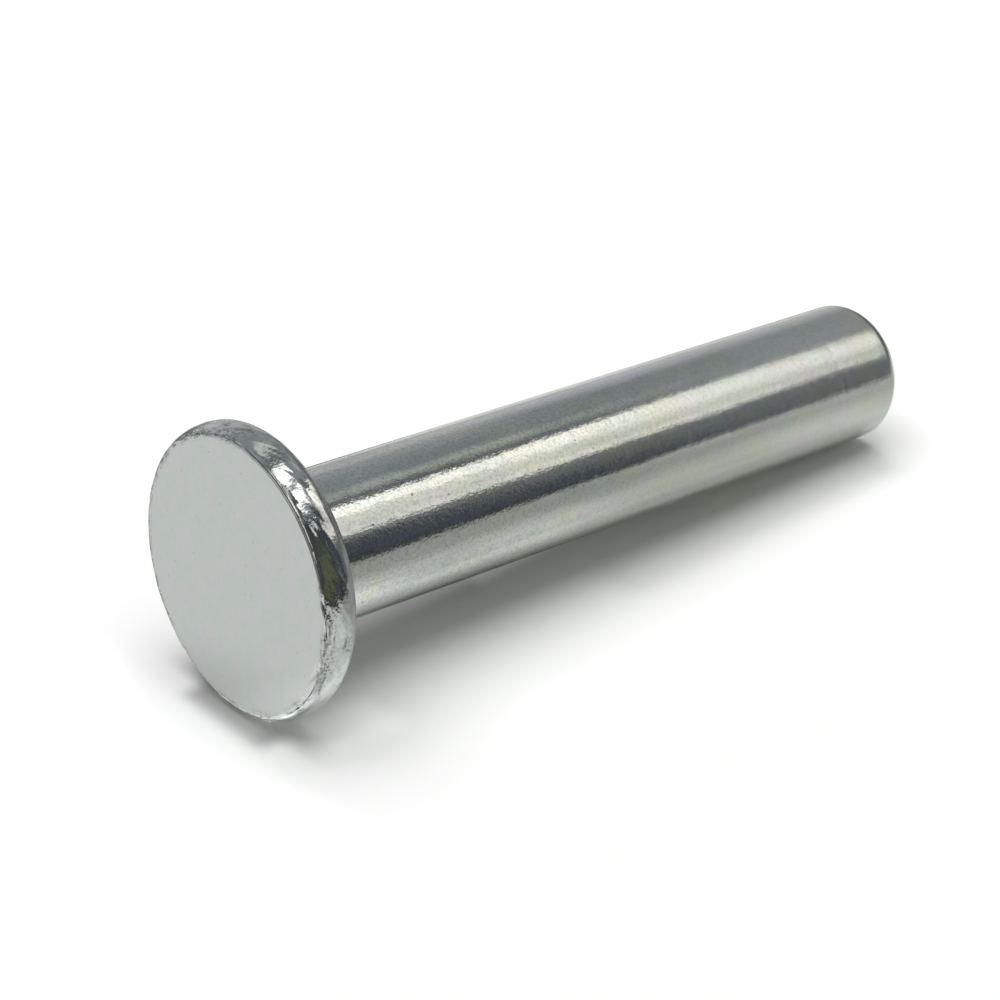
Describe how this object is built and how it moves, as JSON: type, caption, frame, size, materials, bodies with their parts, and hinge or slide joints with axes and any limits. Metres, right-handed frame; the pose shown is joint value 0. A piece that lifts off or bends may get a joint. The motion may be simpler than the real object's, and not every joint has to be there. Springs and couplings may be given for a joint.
{
  "type": "tubular rivet",
  "caption": "Flat-head tubular rivet with a round shank and a blind hole in its tail, for joining sheet, strap or bar by rolling the tail over.",
  "frame": {"origin": "centre of the flat face of the head, which the rivet stands on", "axes": "+Z along the rivet's axis, from the head towards the tail; X and Y are any two directions across it, because the rivet is round"},
  "size_m": [0.0114, 0.0114, 0.0338],
  "materials": {
    "zinc_plate": "bright clear zinc plate on cold-formed steel, satin on the face of the head and shinier on the rim and shank"
  },
  "bodies": {
    "root": {"rivet": "zinc_plate"}
  },
  "joints": []
}
